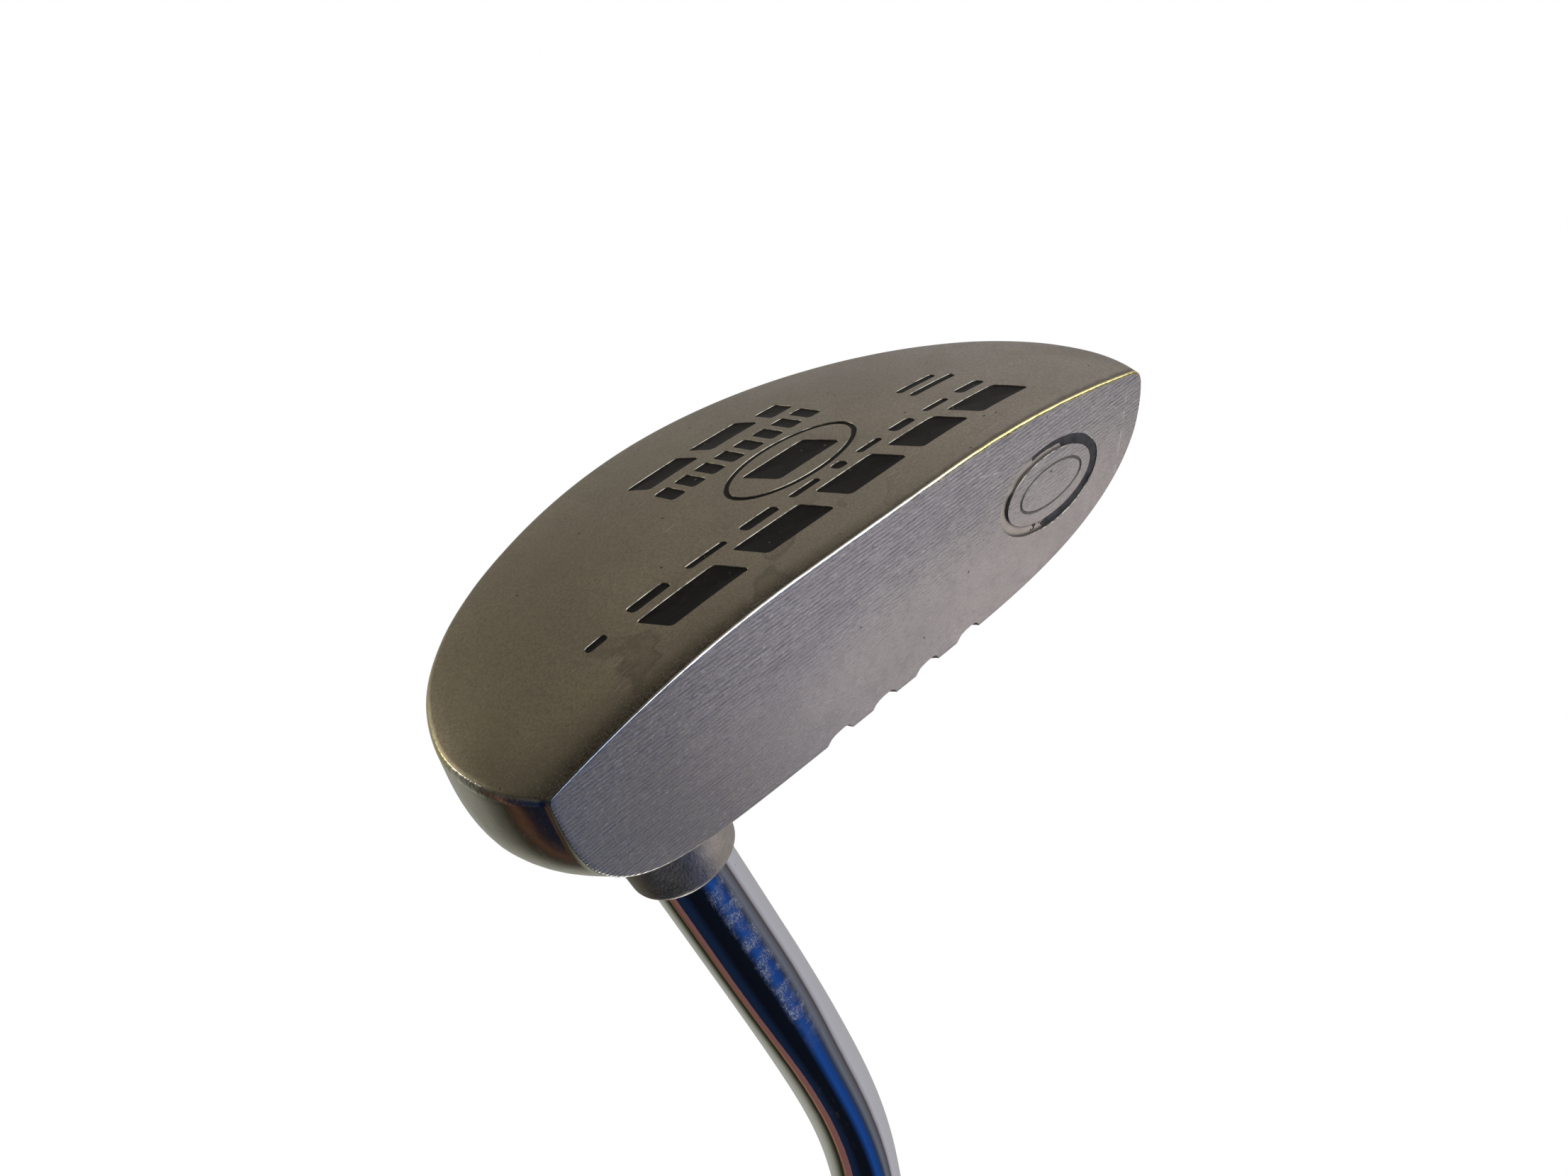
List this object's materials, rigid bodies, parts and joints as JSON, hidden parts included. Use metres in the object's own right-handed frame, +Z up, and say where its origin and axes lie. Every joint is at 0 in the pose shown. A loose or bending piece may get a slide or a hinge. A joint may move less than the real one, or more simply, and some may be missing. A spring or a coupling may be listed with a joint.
{
  "type": "golf putter",
  "caption": "Half-moon mallet putter: solid stainless head with a rolled milled face, crown alignment grooves and engraved paint-filled sole marks, a bent chrome shaft and a rubber grip.",
  "frame": {"origin": "on the ground under the middle of the face, on the flat of the sole", "axes": "+Z up at address with the sole on the ground; the face looks along -Y; +X towards the heel and the golfer, -X towards the toe"},
  "size_m": [0.3122, 0.0476, 0.8533],
  "materials": {
    "head_steel": "satin blasted sole, milled face, polished heel wall",
    "shaft_chrome": "mirror plated with light scuffs",
    "mark_paint": "matt black enamel",
    "bonding": "cured epoxy",
    "plug_plastic": "matt",
    "tape_fabric": "paper tape",
    "grip_rubber": "matt moulded",
    "cap_plastic": "matt moulded"
  },
  "bodies": {
    "root": {"bond_sleeve": "bonding", "grip": "grip_rubber", "grip_cap": "cap_plastic", "grip_tape": "tape_fabric", "head": "head_steel", "paint_back_bar_1": "mark_paint", "paint_back_bar_2": "mark_paint", "paint_bold_bar_1": "mark_paint", "paint_bold_bar_2": "mark_paint", "paint_bold_bar_3": "mark_paint", "paint_bold_bar_4": "mark_paint", "paint_bold_bar_5": "mark_paint", "paint_face_ring": "mark_paint", "paint_heel_dash": "mark_paint", "paint_short_bar_1": "mark_paint", "paint_short_bar_2": "mark_paint", "paint_short_bar_3": "mark_paint", "paint_short_bar_4": "mark_paint", "paint_short_bar_5": "mark_paint", "paint_short_bar_6": "mark_paint", "paint_short_bar_7": "mark_paint", "paint_short_bar_8": "mark_paint", "paint_sole_block": "mark_paint", "paint_sole_ring": "mark_paint", "paint_square_tab": "mark_paint", "paint_thin_dash_1": "mark_paint", "paint_thin_dash_2": "mark_paint", "paint_thin_dash_3": "mark_paint", "paint_thin_dash_4": "mark_paint", "paint_thin_dash_5": "mark_paint", "paint_thin_dash_6": "mark_paint", "paint_thin_dash_7": "mark_paint", "paint_thin_dash_8": "mark_paint", "paint_thin_dash_9": "mark_paint", "paint_toe_dash_1": "mark_paint", "paint_toe_dash_2": "mark_paint", "shaft": "shaft_chrome", "tip_plug": "plug_plastic"}
  },
  "joints": []
}
